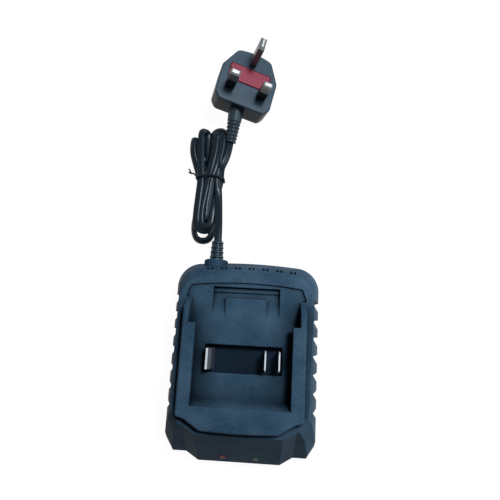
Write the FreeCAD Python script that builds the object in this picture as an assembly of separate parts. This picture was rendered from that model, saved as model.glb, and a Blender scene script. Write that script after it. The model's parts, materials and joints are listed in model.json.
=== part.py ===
"""Battery charger for slide-on tool packs, with its mains lead and fused plug.

All sizes are in millimetres. +X is to the right, +Y to the rear where the cord leaves, +Z up.
The origin is on the table, under the middle of the charger's case.
"""
import FreeCAD
import Part
import math
import os

V = FreeCAD.Vector
X_AXIS = V(1, 0, 0)
Y_AXIS = V(0, 1, 0)
Z_AXIS = V(0, 0, 1)

# case: plan sizes
case_half = 44.7          # half width of the case at its widest
case_rear = 59.5          # rear wall, on the centre line
case_front = -60.7        # front skirt, at its foot
corner_radius = 15.0      # rear corners in plan
rear_arch = 1.4           # how far the rear wall bows out between its corners
nose_half = 24.3          # half width of the middle section of the front
nose_step_x = 7.6         # the chamfer beside the middle section, across
nose_step_y = 4.6         # and back
front_corner_x = 4.7      # the chamfer at each front corner, across
front_corner_y = 7.2      # and back

# case: heights
foot_height = 1.0         # gap below the base, held open by the rubber feet
parting_z = 9.0           # where the two shells meet
flank_z = 14.0            # the sides stand straight up to here
vent_z = 24.0             # height of the vent slots in the rear roll
floor_z = 30.0            # floor that the battery slides over
shoulder_z = 36.0         # height at which the case sides would end, before the sloping top is cut
rim_top_z = 40.0          # top of the raised frame and of its two lips
ledge_front_z = 35.2      # top of the case just in front of the raised frame
ledge_rear_z = 31.0       # top of the case behind the battery panel

# case: how far the walls have drawn in at each height
flank_in_vent = 2.4
flank_in_floor = 4.2
flank_in_top = 7.2
rear_in_vent = 4.2
rear_in_floor = 9.0
rear_in_top = 14.5
front_lean = 0.78         # front face, run back per unit of height
base_draft = 0.7          # the base draws in towards its underside

# case: walls
wall = 2.2
front_wall = 2.8
groove_depth = 2.4
ceiling = 2.2
lap_height = 2.0          # rim of the base inside the top shell
lap_wall = 1.2
lap_gap = 0.15
seat_gap = 0.1            # between pieces that are slipped together

# raised frame around the battery
frame_half = 35.2
frame_front = -37.4
frame_shoulder_x = 21.4
frame_shoulder_y = 0.7
frame_cheek_in = 4.9      # how far in from the side the front bevel starts
frame_cheek_y = 6.2
frame_corner = 1.0        # short bevel into each side wall
frame_corner_y = 7.2
frame_rear = 35.3         # where the side walls have run down to the panel
frame_ramp = 7.0
frame_round = 1.2
lip_half = 27.7           # inner edges of the two lips
lip_lap = 1.0             # the slot's cut runs in past the lip's edge by this much
lip_bevel = 0.6
lip_front = -24.2
lip_rear = 20.5
lip_underside_z = 36.0
frame_wall = 3.2          # side wall beside the slot under each lip
cheek_wall = 3.3          # side wall behind the lips
peg_radius = 1.0          # pegs that hold the frame on the cover
peg_length = 2.4
peg_front_y = -20.0
peg_rear_y = 15.0
front_wall_run = 3.1      # the pocket's front wall leans in by this much
panel_rear = 45.1         # arch step behind the panel
panel_rear_left = 42.9
panel_corner_y = 37.4
panel_corner_x = 33.0

# window with the three battery terminals
window_half = 22.5
window_front = -7.0
window_rear = 8.9
terminal_top_z = 37.0
terminal_length = 11.5
terminal_negative_x = -21.0
terminal_signal_x = 12.8
terminal_positive_x = 20.7
terminal_sheet = 0.8
terminal_fold = 2.4
terminal_tip_bevel = 1.2
leaf_run = 3.4            # the folded terminal's free leaf, how far it leans over
leaf_crest = 1.8          # inner side of its bend
leaf_low = 1.0            # its free end hangs this far below the floor
leaf_bend = 0.6
leaf_inside = 1.00         # drop from the leaf's crest to the inside of its fold
terminal_block_top = 24.0

# latch recess behind the window
latch_half = 19.85
latch_front = 24.8
latch_rear = 42.4
latch_depth = 3.2
latch_step_y = 39.4
latch_step = 0.9
tongue_half = 12.15
tongue_rear = 35.8

# grooves in the two flanks
groove_count = 7
groove_pitch = 10.4
groove_rear_left = 37.4
groove_rear_right = 36.4
groove_width = 5.4
groove_flat = 1.5
groove_top_depth = 1.3
groove_runout = 0.5       # the grooves run on above the floor's height by this much

# vent slots in the rear roll
vent_count = 7
vent_pitch = 8.5
vent_first_x = -24.7
vent_slot = 1.3
vent_pair = 2.4
vent_height = 3.0

# lamps on the front
lamp_red_x = -9.5
lamp_green_x = 9.9
lamp_z = 14.0
lamp_radius = 2.0
lamp_dome = 0.8           # height of the lens's dome
lamp_proud = 0.3
lamp_length = 6.4
lamp_flange = 0.5
lamp_leg_radius = 0.3
lamp_leg_spread = 1.27

# screws and feet
screw_x = 35.4
screw_rear_y = 42.5
screw_front_y = -38.0
post_radius = 3.4
screw_radius = 1.5
screw_head_radius = 2.7
screw_head_height = 2.0
screw_length = 17.0
foot_radius = 4.2
foot_recess = 0.7
foot_x = 30.0
foot_rear_y = 31.0
foot_front_y = -30.5

# circuit board
board_half = 30.6
board_rear = 39.6
board_front = -48.0
board_z = 8.2
board_thick = 1.6
board_post_radius = 2.6
board_post_x = 27.4
board_post_front_y = -42.5
board_post_rear_y = 36.0
board_screw_radius = 1.2

# screws through the board and the cord's clamp
small_head_height = 1.4
small_screw_grip = 3.6    # how far they go into their posts
clamp_screw_grip = 5.0
screw_slot_half = 0.4
screw_slot_depth = 0.8
screw_tip_room = 0.5      # room beyond a screw's tip

# transformer
transformer_x = 15.0
transformer_y = 24.6
core_width = 27.0
core_length = 24.0
core_height = 9.8
core_leg = 7.0
core_side = 3.8
core_yoke = 4.2
core_lift = 2.0
coil_gap = 0.3
coil_round = 2.4

# other parts on the board: places of their middles, widths, lengths and heights
mains_can_radius = 5.9
mains_can_length = 21.0
mains_can_y = -33.5       # its rear end, where it starts
can_groove_from_end = 2.4
can_groove_radius = 0.6
lead_radius = 0.35
lead_spread = 1.5
lead_out = 1.6
lead_turn = 1.3           # where each lead turns down to the board
output_can_radius = 4.2
output_can_height = 12.5
output_can_y = -22.0
output_can_first_x = 4.0
output_can_second_x = 14.0
output_can_ring = 0.5
output_can_ring_z = 1.8
choke_x = -20.0
choke_y = 22.0
choke_ring = 4.8          # radius of the ring's middle line
choke_fat = 2.5           # radius of the wound ring's section
choke_sink = 0.1          # the wound ring's rise above the board, inside its foot
choke_foot_width = 6.0
choke_foot_length = 9.0
choke_foot_height = 1.6
bridge_x = -6.4
bridge_y = 21.0
bridge_width = 3.6
bridge_length = 15.0
bridge_height = 10.0
film_x = -26.6
film_y = 23.0
film_width = 5.4
film_length = 15.0
film_height = 11.0
film_round = 0.6
board_fuse_x = -13.0
board_fuse_y = 26.0
board_fuse_radius = 3.1
board_fuse_height = 7.0
sink_x = 27.0
sink_y = -24.0
sink_sheet = 1.6
sink_length = 24.0
sink_height = 13.0
sink_foot_width = 4.2
sink_foot_sheet = 1.4
sink_fin_reach = 3.2
sink_fin_sheet = 1.2
sink_fin_pitch = 9.0
package_width = 4.6       # the two packages that are screwed to the heat sink
package_length = 10.0
package_height = 10.6
package_foot_gap = 0.2
transistor_y = -19.0
diode_y = -31.0
chip_lift = 0.4
chip_height = 2.0
chip_leg_reach = 1.0
chip_leg_height = 1.0
chip_leg_half = 0.25
control_chip_at = V(-4.0, -24.0, 0)
control_chip_width = 5.0
control_chip_length = 10.0
control_chip_legs = 8
optocoupler_at = V(-13.0, -24.0, 0)
optocoupler_width = 6.0
optocoupler_length = 4.6
optocoupler_legs = 2
tail_radius = 0.8
tail_spread = 1.1
tail_step = 1.5
tail_straight = 3.4
tail_in_board = 1.6

# mains cord and its two strain reliefs
cord_x = -21.3
cord_z = 14.0
cord_diameter = 4.4
boot_root_radius = 4.65
boot_tip_radius = 3.85
boot_length = 12.4
boot_boss_radius = 7.6
boot_boss_proud = 1.2
boot_boss_round = 0.96
cord_hole_reach = 20.0     # the cord's hole is cut this far either side of the rear face
boot_boss_inside = 2.2
boot_slots = 4
boot_slot_first = 0.35    # where the first slot starts, in pitches
boot_slot_share = 0.42    # width of a slot, in pitches
boot_spine_half = 0.7     # solid spine between the slots of the two sides
boot_sleeve = 0.7         # solid wall kept around the cord
boot_flange_radius = 6.2
boot_flange = 1.6
clamp_y = 48.6
clamp_length = 5.0
clamp_half = 8.6
clamp_height = 2.0
clamp_screw_x = 6.4
clamp_head_radius = 2.0

# hank of cord, and the tie round its waist
hank_bottom = 0.8
hank_top = 11.0
hank_round = 2.6
tie_y = 118.2
tie_width = 2.2
tie_thick = 0.6
tie_half = 10.3
tie_x = -30.2
tie_tail = 6.5
tie_tail_spread = 3.2     # how far the tail runs back, and how far it rises
tie_tail_rise = 1.3
tie_tail_z = 6.0

# cord's routes, from a boot's tip to the hank's waist, and the hank's outline
lead_route = [V(-21.7, 83.5, 12.6), V(-22.8, 95.0, 9.2), V(-23.9, 106.5, 6.9), V(-25.4, 117.6, 6.0)]
plug_lead_route = [V(-17.0, 140.4, 6.0), V(-16.8, 134.4, 5.2), V(-17.9, 128.0, 5.0), V(-20.6, 119.5, 5.4)]
hank_outline = [
    (-31.5, 73.6), (-37.2, 76.0), (-41.4, 83.5), (-42.8, 95.0), (-41.4, 108.0), (-39.6, tie_y),
    (-42.2, 129.0), (-45.6, 140.0), (-46.2, 148.0), (-41.8, 151.6), (-38.6, 156.2), (-33.8, 156.2),
    (-30.6, 153.6), (-27.6, 157.4), (-24.2, 156.6), (-23.0, 151.0), (-22.6, 141.0), (-21.6, 129.0),
    (-21.2, tie_y), (-25.4, 111.0), (-25.8, 100.0), (-26.0, 88.0), (-26.6, 79.0)]
arc_share = 0.45          # share of a straight run that each bend of the cord uses up

# plug: the face's middle, between its two short pins, and how the plug lies on its back
plug_at = V(-8.63, 176.93, 23.4)
plug_turn = -11.04
plug_roll = 17.74
plug_pitch = 3.95
plug_half = 19.8
plug_top = 27.9
plug_top_half = 12.0
plug_top_drop = 2.1
plug_shoulder = 12.2
plug_bottom = -11.5
plug_bottom_half = 16.2
plug_bottom_rise = 4.2
plug_side_depth = 18.2
plug_depth = 21.6
plug_back_scale = 0.84
plug_round = 1.0
plug_bottom_round = 4.0
plug_shoulder_round = 5.0
plug_top_round = 5.0
plug_crown_round = 40.0
plug_rest = 0.05

# pins, as the plug standard sets them
pin_spacing = 22.2
pin_width = 6.35
pin_thick = 4.0
pin_length = 17.7
pin_sleeve = 9.0
pin_core_in = 0.55
pin_root = 7.5
pin_tip_bevel = 1.0
earth_ahead = 22.2
earth_width = 4.0
earth_thick = 8.0
earth_length = 22.2
earth_bevel = 1.5

# fuse and the carrier that pulls out with it
fuse_length = 25.4
fuse_radius = 3.15
fuse_cap = 5.6
fuse_cap_sheet = 0.15
fuse_v = 9.6
fuse_z = -4.9
carrier_half = 14.2
carrier_v_low = 4.0
carrier_v_high = 15.2
carrier_thick = 1.6
carrier_proud = 0.6       # the carrier's face stands out from the plug's by this much
carrier_round = 1.6
carrier_bevel = 0.4
notch_half = 1.7          # finger notch at the carrier's left end
notch_in = 1.5
carrier_gap = 0.3
cradle_half = 7.4
cradle_wall = 0.55
cradle_low = 1.6          # the cradle reaches this far below the fuse's axis, and the clips above it
fuse_snap = 0.1
clip_sheet = 0.4
clip_length = 3.6
clip_from_end = 1.2
clip_gap = 0.05

# plug's own boot
plug_boot_u = -1.6
plug_boot_depth = 10.4
plug_boot_sink = 3.0
plug_boot_tip = V(-18.3, 145.9, 7.6)
plug_boot_root_radius = 5.0
plug_boot_tip_radius = 3.8
plug_boot_rib_depth = 0.9
plug_boot_groove_share = 0.4   # width of a groove between two ribs, in pitches
plug_boot_ribs = 5
plug_boot_smooth = 0.42

flank_wall = wall + groove_depth
base_z = foot_height
board_top = board_z + board_thick
frame_seat_z = floor_z - 1.0
LARGE = 200.0
EDGE_SLACK = 0.01


def box(x0, x1, y0, y1, z0, z1):
    return Part.makeBox(x1 - x0, y1 - y0, z1 - z0, V(x0, y0, z0))


def rod(radius, start, end):
    run = end - start
    return Part.makeCylinder(radius, run.Length, start, run)


def prism(points, height):
    """A straight prism on a flat outline, pushed along the given vector."""
    wire = Part.makePolygon(points + [points[0]])
    return Part.Face(wire).extrude(height)


def mirrored(shape):
    return shape.mirror(V(0, 0, 0), X_AXIS)


def fuse_all(shapes):
    result = shapes[0]
    for shape in shapes[1:]:
        result = result.fuse(shape)
    return result.removeSplitter()


def cut_all(shape, tools):
    for tool in tools:
        shape = shape.cut(tool)
    return shape


def plan_wire(z, half, rear, front):
    """The case's outline at one height: stepped front, straight sides, rounded rear."""
    side_end = rear - rear_arch - corner_radius
    corner_x = half - corner_radius
    diagonal = corner_radius * math.sqrt(0.5)
    right = [V(nose_half, front, z),
             V(nose_half + nose_step_x, front + nose_step_y, z),
             V(half - front_corner_x, front + nose_step_y, z),
             V(half, front + nose_step_y + front_corner_y, z),
             V(half, side_end, z)]
    left = [V(-p.x, p.y, z) for p in reversed(right)]
    edges = [Part.LineSegment(left[-1], right[0]).toShape()]
    for a, b in zip(right, right[1:]):
        edges.append(Part.LineSegment(a, b).toShape())
    right_rear = V(corner_x, side_end + corner_radius, z)
    left_rear = V(-corner_x, side_end + corner_radius, z)
    right_mid = V(corner_x + diagonal, side_end + diagonal, z)
    left_mid = V(-corner_x - diagonal, side_end + diagonal, z)
    edges.append(Part.Arc(right[-1], right_mid, right_rear).toShape())
    edges.append(Part.Arc(right_rear, V(0, rear, z), left_rear).toShape())
    edges.append(Part.Arc(left_rear, left_mid, left[0]).toShape())
    for a, b in zip(left, left[1:]):
        edges.append(Part.LineSegment(a, b).toShape())
    return Part.Wire(edges)


def front_at(z):
    """Y of the leaning front face at a height above the parting line."""
    return case_front + base_draft + front_lean * (z - parting_z)


def case_sections(side, back, nose, top):
    """Outlines from the parting line up, drawn in by the three wall sizes given."""
    stations = [(parting_z, 0.0, 0.0), (flank_z, 0.0, 0.0),
                (vent_z, flank_in_vent, rear_in_vent), (floor_z, flank_in_floor, rear_in_floor),
                (shoulder_z, flank_in_top, rear_in_top)]
    wires = []
    last = None
    for z, flank_in, rear_in in stations:
        if z >= top and last is not None:
            share = (top - last[0]) / (z - last[0])
            flank_in = last[1] + share * (flank_in - last[1])
            rear_in = last[2] + share * (rear_in - last[2])
            z = top
        wires.append(plan_wire(z, case_half - flank_in - side, case_rear - rear_in - back,
                               front_at(z) + nose))
        if z == top:
            break
        last = (z, flank_in, rear_in)
    return wires


def ledge_at(y):
    """Height of the cover's sloping top at a place along the case."""
    slope = (ledge_rear_z - ledge_front_z) / (panel_rear - frame_front)
    return ledge_front_z + slope * (y - frame_front)


def upper_outside():
    body = Part.makeLoft(case_sections(0, 0, 0, shoulder_z), True, True)
    above = prism([V(-LARGE, -LARGE, ledge_at(-LARGE)), V(-LARGE, LARGE, ledge_at(LARGE)),
                   V(-LARGE, LARGE, LARGE), V(-LARGE, -LARGE, LARGE)], V(2 * LARGE, 0, 0))
    return body.cut(above)


def lower_outside():
    sections = [plan_wire(base_z, case_half - base_draft, case_rear - base_draft, case_front),
                plan_wire(parting_z, case_half, case_rear, case_front + base_draft)]
    return Part.makeLoft(sections, True, True)


def frame_block():
    """The raised frame as a full block, before the battery's pocket is cut."""
    z = frame_seat_z
    right = [V(frame_shoulder_x, frame_front + frame_shoulder_y, z),
             V(frame_half - frame_cheek_in, frame_front + frame_cheek_y, z),
             V(frame_half - frame_corner, frame_front + frame_corner_y, z),
             V(frame_half, frame_front + frame_corner_y + frame_corner, z),
             V(frame_half, frame_rear, z)]
    left = [V(-p.x, p.y, z) for p in reversed(right)]
    edges = [Part.Arc(left[-1], V(0, frame_front, z), right[0]).toShape()]
    outline = right + left
    for a, b in zip(outline, outline[1:]):
        edges.append(Part.LineSegment(a, b).toShape())
    block = Part.Face(Part.Wire(edges)).extrude(V(0, 0, rim_top_z - z))
    block = block.makeFillet(frame_round, [e for e in block.Edges
                             if min(v.Z for v in e.Vertexes) > rim_top_z - EDGE_SLACK
                             and e.CenterOfMass.y < frame_rear - EDGE_SLACK])
    ramp = prism([V(-LARGE, frame_rear - frame_ramp, rim_top_z + 1), V(-LARGE, LARGE, rim_top_z + 1),
                  V(-LARGE, LARGE, floor_z), V(-LARGE, frame_rear, floor_z),
                  V(-LARGE, frame_rear - frame_ramp, rim_top_z)], V(2 * LARGE, 0, 0))
    return block.cut(ramp)


def pocket_tools():
    """Everything that is taken out of the top for the battery."""
    above = rim_top_z + 1
    tools = [prism([V(-lip_half, lip_front, above), V(-lip_half, lip_front, rim_top_z - lip_bevel),
                    V(-lip_half, lip_front + front_wall_run, floor_z),
                    V(-lip_half, frame_rear + 1, floor_z), V(-lip_half, frame_rear + 1, above)],
                   V(2 * lip_half, 0, 0)),
             box(cheek_wall - frame_half, frame_half - cheek_wall, lip_rear, frame_rear + 1, floor_z, above)]
    for side in (-1, 1):
        x0, x1 = sorted((side * (lip_half - lip_lap), side * (frame_half - frame_wall)))
        tools.append(box(x0, x1, lip_front + front_wall_run, lip_rear + 1, floor_z, lip_underside_z))
    arch = [V(frame_half, frame_rear, floor_z), V(frame_half, panel_corner_y, floor_z),
            V(panel_corner_x, panel_rear_left, floor_z)]
    other = [V(-p.x, p.y, p.z) for p in reversed(arch)]
    edges = [Part.LineSegment(a, b).toShape() for a, b in zip(arch, arch[1:])]
    edges.append(Part.Arc(arch[-1], V(0, panel_rear, floor_z), other[0]).toShape())
    edges += [Part.LineSegment(a, b).toShape() for a, b in zip(other, other[1:])]
    edges.append(Part.LineSegment(other[-1], arch[0]).toShape())
    tools.append(Part.Face(Part.Wire(edges)).extrude(V(0, 0, above - floor_z)))
    tools.append(box(-window_half, window_half, window_front, window_rear,
                     floor_z - ceiling - 1, floor_z + 1))
    return tools


def latch_tool():
    """U-shaped recess that gets deeper to the rear, round a tongue left at floor height."""
    low = floor_z - latch_depth
    x = -latch_half
    ramp = prism([V(x, latch_front, floor_z), V(x, latch_step_y, low), V(x, latch_step_y, low + latch_step),
                  V(x, latch_rear, low + latch_step), V(x, latch_rear, floor_z + 1),
                  V(x, latch_front, floor_z + 1)], V(2 * latch_half, 0, 0))
    tongue = box(-tongue_half, tongue_half, latch_front - 1, tongue_rear, low - 1, floor_z)
    return ramp.cut(tongue)


def groove_tools():
    """Upright grooves in both flanks, each with a square rear edge and a slanted front."""
    tools = []
    stations = [(0.0, case_half, groove_depth), (flank_z, case_half, groove_depth),
                (vent_z, case_half - flank_in_vent, groove_depth),
                (floor_z + groove_runout, case_half - flank_in_floor, groove_top_depth)]
    for side, first in ((-1, groove_rear_left), (1, groove_rear_right)):
        for i in range(groove_count):
            y = first - i * groove_pitch
            wires = []
            for z, half, depth in stations:
                corners = [V(side * (half + 1), y, z), V(side * (half - depth), y, z),
                           V(side * (half - depth), y - groove_flat, z),
                           V(side * half, y - groove_width, z), V(side * (half + 1), y - groove_width, z)]
                wires.append(Part.makePolygon(corners + [corners[0]]))
            tools.append(Part.makeLoft(wires, True, True))
    return tools


def vent_tools():
    tools = []
    for i in range(vent_count):
        for offset in (0, vent_pair):
            x = vent_first_x + i * vent_pitch + offset
            tools.append(box(x - vent_slot / 2, x + vent_slot / 2, case_rear - rear_in_floor - wall - 3,
                             case_rear + 1, vent_z - vent_height / 2, vent_z + vent_height / 2))
    return tools


def lamp_frame():
    """Unit vector out of the leaning front face, at the lamps."""
    out = V(0, -1, front_lean)
    out.normalize()
    return out


def lamp_point(x):
    return V(x, front_at(lamp_z), lamp_z)


def boss_seat_y():
    """Flat inner end of the boss, clear of the wall that leans in above it."""
    return case_rear - rear_arch - wall - boot_boss_inside


def boss():
    """Round boss in the rear wall, where the cord leaves."""
    body = rod(boot_boss_radius, V(cord_x, boss_seat_y(), cord_z),
               V(cord_x, case_rear + boot_boss_proud, cord_z))
    rim = [e for e in body.Edges if e.CenterOfMass.y > case_rear + boot_boss_proud - EDGE_SLACK]
    return body.makeFillet(boot_boss_round, rim)


def cord_hole():
    return rod(boot_root_radius + seat_gap, V(cord_x, case_rear - cord_hole_reach, cord_z),
               V(cord_x, case_rear + cord_hole_reach, cord_z))


def screw_places():
    return [V(x, y, 0) for y in (screw_front_y, screw_rear_y) for x in (-screw_x, screw_x)]


def foot_places():
    return [V(x, y, 0) for y in (foot_front_y, foot_rear_y) for x in (-foot_x, foot_x)]


def make_top_cover():
    hollow = Part.makeLoft(case_sections(flank_wall, wall, front_wall, floor_z - ceiling), True, True)
    roof = box(-latch_half - wall, latch_half + wall, latch_front - wall, LARGE,
               floor_z - latch_depth - ceiling, LARGE)
    cover = upper_outside().cut(hollow.cut(roof))
    cover = cover.fuse(boss().common(box(-LARGE, LARGE, -LARGE, LARGE, parting_z, LARGE)))
    cover = cut_all(cover, pocket_tools() + [latch_tool()] + groove_tools() + vent_tools())
    out = lamp_frame()
    for x in (lamp_red_x, lamp_green_x):
        point = lamp_point(x)
        cover = cover.cut(rod(lamp_radius + seat_gap, point - out * (front_wall + 3), point + out * 3))
    cover = cut_all(cover, frame_pegs(seat_gap))
    posts = []
    for p in screw_places():
        post = Part.makeCylinder(post_radius, floor_z - ceiling + 1 - parting_z, V(p.x, p.y, parting_z))
        posts.append(post.common(upper_outside()))
    cover = fuse_all([cover] + posts)
    for p in screw_places():
        hole_top = base_z + screw_length + screw_tip_room
        cover = cover.cut(Part.makeCylinder(screw_radius + seat_gap / 2, hole_top, V(p.x, p.y, 0)))
    return cover.cut(cord_hole()).removeSplitter()


def frame_pegs(clearance):
    """Four pegs under the frame's side walls, or the holes that they go into."""
    x = frame_half - frame_wall / 2
    pegs = []
    for y in (peg_front_y, peg_rear_y):
        seat = ledge_at(y)
        for side in (-1, 1):
            pegs.append(rod(peg_radius + clearance, V(side * x, y, seat - peg_length - clearance),
                            V(side * x, y, seat + clearance)))
    return pegs


def make_battery_frame():
    """Raised frame with the two lips, seated on the cover's sloping top."""
    frame = cut_all(frame_block().cut(upper_outside()), pocket_tools())
    return fuse_all([frame] + frame_pegs(0.0))


def lap_ring(inset, low, high):
    """Solid inside the shells' inner face, set in by a distance, between two heights."""
    wires = [plan_wire(z, case_half - flank_wall - inset, case_rear - wall - inset,
                       front_at(parting_z + lap_height) + front_wall + inset) for z in (low, high)]
    return Part.makeLoft(wires, True, True)


def make_base_cover():
    hollow_sections = []
    for z in (base_z + wall, parting_z + 1):
        hollow_sections.append(plan_wire(z, case_half - flank_wall, case_rear - wall,
                                         case_front + base_draft + front_wall))
    base = lower_outside().cut(Part.makeLoft(hollow_sections, True, True))
    lap_top = parting_z + lap_height
    lap_low = parting_z - lap_height
    lap = lap_ring(lap_gap, lap_low, lap_top).fuse(lap_ring(-lap_wall / 2, lap_low, parting_z))
    lap = lap.cut(lap_ring(lap_gap + lap_wall, lap_low, lap_top))
    lap = lap.cut(rod(boot_boss_radius + seat_gap, V(cord_x, 0, cord_z), V(cord_x, LARGE, cord_z)))
    parts = [base, boss().common(box(-LARGE, LARGE, -LARGE, LARGE, 0, parting_z))]
    for p in screw_places():
        lap = lap.cut(Part.makeCylinder(post_radius + seat_gap, LARGE, V(p.x, p.y, 0)))
        parts.append(Part.makeCylinder(post_radius, parting_z - base_z, V(p.x, p.y, base_z)))
    parts.append(lap)
    for p in board_posts():
        parts.append(Part.makeCylinder(board_post_radius, board_z - base_z, V(p.x, p.y, base_z)))
    for side in (-1, 1):
        parts.append(Part.makeCylinder(board_post_radius, cord_z - cord_diameter / 2 - base_z,
                                       V(cord_x + side * clamp_screw_x, clamp_y, base_z)))
    base = fuse_all(parts)
    for p in screw_places():
        base = base.cut(Part.makeCylinder(screw_radius + seat_gap, LARGE, V(p.x, p.y, 0)))
        base = base.cut(Part.makeCylinder(screw_head_radius + seat_gap,
                                          screw_head_height + 1 + seat_gap, V(p.x, p.y, base_z - 1)))
    for p in foot_places():
        base = base.cut(Part.makeCylinder(foot_radius, foot_recess, V(p.x, p.y, base_z)))
    for p in board_posts() + clamp_screws_at():
        base = base.cut(Part.makeCylinder(board_screw_radius + seat_gap / 2, LARGE,
                                          V(p.x, p.y, base_z + wall)))
    for x in (lamp_red_x, lamp_green_x):
        base = base.cut(rod(lamp_radius + lamp_flange + seat_gap,
                            lamp_point(x) - lamp_frame() * (lamp_length + 1), lamp_point(x)))
    base = cut_all(base, groove_tools())
    return base.cut(cord_hole()).removeSplitter()


def board_posts():
    return [V(x, y, 0) for y in (board_post_front_y, board_post_rear_y)
            for x in (-board_post_x, board_post_x)]


def clamp_screws_at():
    return [V(cord_x + side * clamp_screw_x, clamp_y, 0) for side in (-1, 1)]


def screw(radius, head_radius, head_height, length, at, up):
    """A pan-head screw: its head's outer face is at the point, its shank points along up."""
    head = rod(head_radius, at, at + up * head_height)
    shank = rod(radius, at + up * head_height, at + up * length)
    slot = box(-head_radius, head_radius, -screw_slot_half, screw_slot_half, -screw_slot_depth,
               screw_slot_depth)
    slot.translate(at)
    return head.fuse(shank).cut(slot).removeSplitter()


def make_case_screws():
    return Part.makeCompound([screw(screw_radius, screw_head_radius, screw_head_height,
                                    screw_length - screw_tip_room,
                                    V(p.x, p.y, base_z + seat_gap), Z_AXIS) for p in screw_places()])


def make_board_screws():
    length = small_head_height + board_thick + small_screw_grip
    return Part.makeCompound([screw(board_screw_radius, 2 * board_screw_radius, small_head_height, length,
                                    V(p.x, p.y, board_top + small_head_height), -Z_AXIS)
                              for p in board_posts()])


def make_rubber_feet():
    return Part.makeCompound([Part.makeCylinder(foot_radius - seat_gap, base_z + foot_recess,
                                                V(p.x, p.y, 0)) for p in foot_places()])


def make_circuit_board():
    board = box(-board_half, board_half, board_front, board_rear, board_z, board_top)
    for p in board_posts():
        board = board.cut(Part.makeCylinder(board_screw_radius + seat_gap, LARGE, V(p.x, p.y, 0)))
    return board


def terminal_slots(clearance):
    """The space of each terminal's foot in the block that holds them."""
    slots = []
    for x in (terminal_negative_x, terminal_signal_x, terminal_positive_x):
        slots.append(box(x - terminal_sheet / 2 - clearance, x + terminal_sheet / 2 + clearance,
                         terminal_mid_y() - terminal_length / 2 - clearance,
                         terminal_mid_y() + terminal_length / 2 + clearance,
                         board_top - clearance, terminal_block_top + clearance))
    return slots


def terminal_mid_y():
    return (window_front + window_rear) / 2


def make_terminal_block():
    half = window_half + wall
    block = box(-half, half, window_front - wall, window_rear + wall, board_top, terminal_block_top)
    rim = box(-half, half, window_front - wall, window_rear + wall, terminal_block_top,
              floor_z - ceiling - seat_gap)
    rim = rim.cut(box(-window_half, window_half, window_front, window_rear, 0, LARGE))
    return cut_all(block.fuse(rim), terminal_slots(0.0)).removeSplitter()


def make_blade(x):
    y0 = terminal_mid_y() - terminal_length / 2
    blade = box(x - terminal_sheet / 2, x + terminal_sheet / 2, y0, y0 + terminal_length,
                board_top, terminal_top_z)
    top = [e for e in blade.Edges if min(v.Z for v in e.Vertexes) > terminal_top_z - EDGE_SLACK]
    ends = [e for e in top if abs(e.Vertexes[0].Y - e.Vertexes[1].Y) < EDGE_SLACK]
    return blade.makeChamfer(terminal_tip_bevel, ends)


def make_folded_terminal():
    """Sheet that stands in the block, leans over towards the middle and folds back down."""
    y0 = terminal_mid_y() - terminal_length / 2
    x0 = terminal_negative_x - terminal_sheet / 2
    x1 = terminal_negative_x + terminal_sheet / 2
    foot = box(x0, x1, y0, y0 + terminal_length, board_top, terminal_top_z - terminal_fold)
    low_z = floor_z - leaf_low
    bend_z = terminal_top_z - terminal_fold
    fold = prism([V(x0, y0, bend_z), V(x1, y0, bend_z),
                  V(x1 + leaf_bend, y0, terminal_top_z - leaf_inside),
                  V(x1 + leaf_crest, y0, bend_z),
                  V(x1 + leaf_run, y0, low_z), V(x1 + leaf_run + terminal_sheet, y0, low_z),
                  V(x1 + leaf_crest + terminal_sheet, y0, bend_z),
                  V(x1 + leaf_bend + terminal_sheet / 2, y0, terminal_top_z),
                  V(x0 + leaf_bend, y0, terminal_top_z)], V(0, terminal_length, 0))
    return foot.fuse(fold).removeSplitter()


def make_lamp(x):
    """Lamp with a domed lens, a flange inside the wall and two legs to the board's edge."""
    out = lamp_frame()
    point = lamp_point(x)
    tip = point + out * (lamp_proud - lamp_dome)
    lens = rod(lamp_radius, point - out * lamp_length, tip)
    dome = Part.makeSphere(lamp_radius, tip)
    dome = dome.common(rod(lamp_radius + 1, tip - out * lamp_radius, tip + out * lamp_dome))
    heel = point - out * lamp_length
    flange = rod(lamp_radius + lamp_flange, heel, heel + out)
    shapes = [lens, dome, flange]
    leg = (board_front - heel.y) / -out.y
    for side in (-1, 1):
        start = heel + X_AXIS * (side * lamp_leg_spread)
        shapes.append(rod(lamp_leg_radius, start, start - out * leg))
    return fuse_all(shapes)


def make_strain_relief():
    """Tapered boot: a cone with slots part way through it, and a flange inside the wall."""
    start = case_rear + boot_boss_proud
    cone = Part.makeCone(boot_root_radius, boot_tip_radius, boot_length, V(cord_x, start, cord_z), Y_AXIS)
    flange_end = boss_seat_y() - seat_gap
    neck = rod(boot_root_radius, V(cord_x, flange_end, cord_z), V(cord_x, start, cord_z))
    flange = rod(boot_flange_radius, V(cord_x, flange_end - boot_flange, cord_z),
                 V(cord_x, flange_end, cord_z))
    boot = fuse_all([cone, neck, flange])
    pitch = boot_length / (boot_slots + 0.5)
    for i in range(boot_slots):
        y = start + pitch * (i + boot_slot_first)
        for side in (-1, 1):
            shift = pitch / 2 if side > 0 else 0.0
            x0, x1 = sorted((cord_x + side * boot_spine_half, cord_x + side * (boot_root_radius + 1)))
            slot = box(x0, x1, y + shift, y + shift + pitch * boot_slot_share,
                       cord_z - boot_root_radius - 1, cord_z + boot_root_radius + 1)
            keep = rod(cord_diameter / 2 + boot_sleeve, V(cord_x, y - pitch, cord_z),
                       V(cord_x, y + 2 * pitch, cord_z))
            boot = boot.cut(slot.cut(keep))
    bore = rod(cord_diameter / 2, V(cord_x, 0, cord_z), V(cord_x, start + boot_length + 1, cord_z))
    return boot.cut(bore).removeSplitter()


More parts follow.
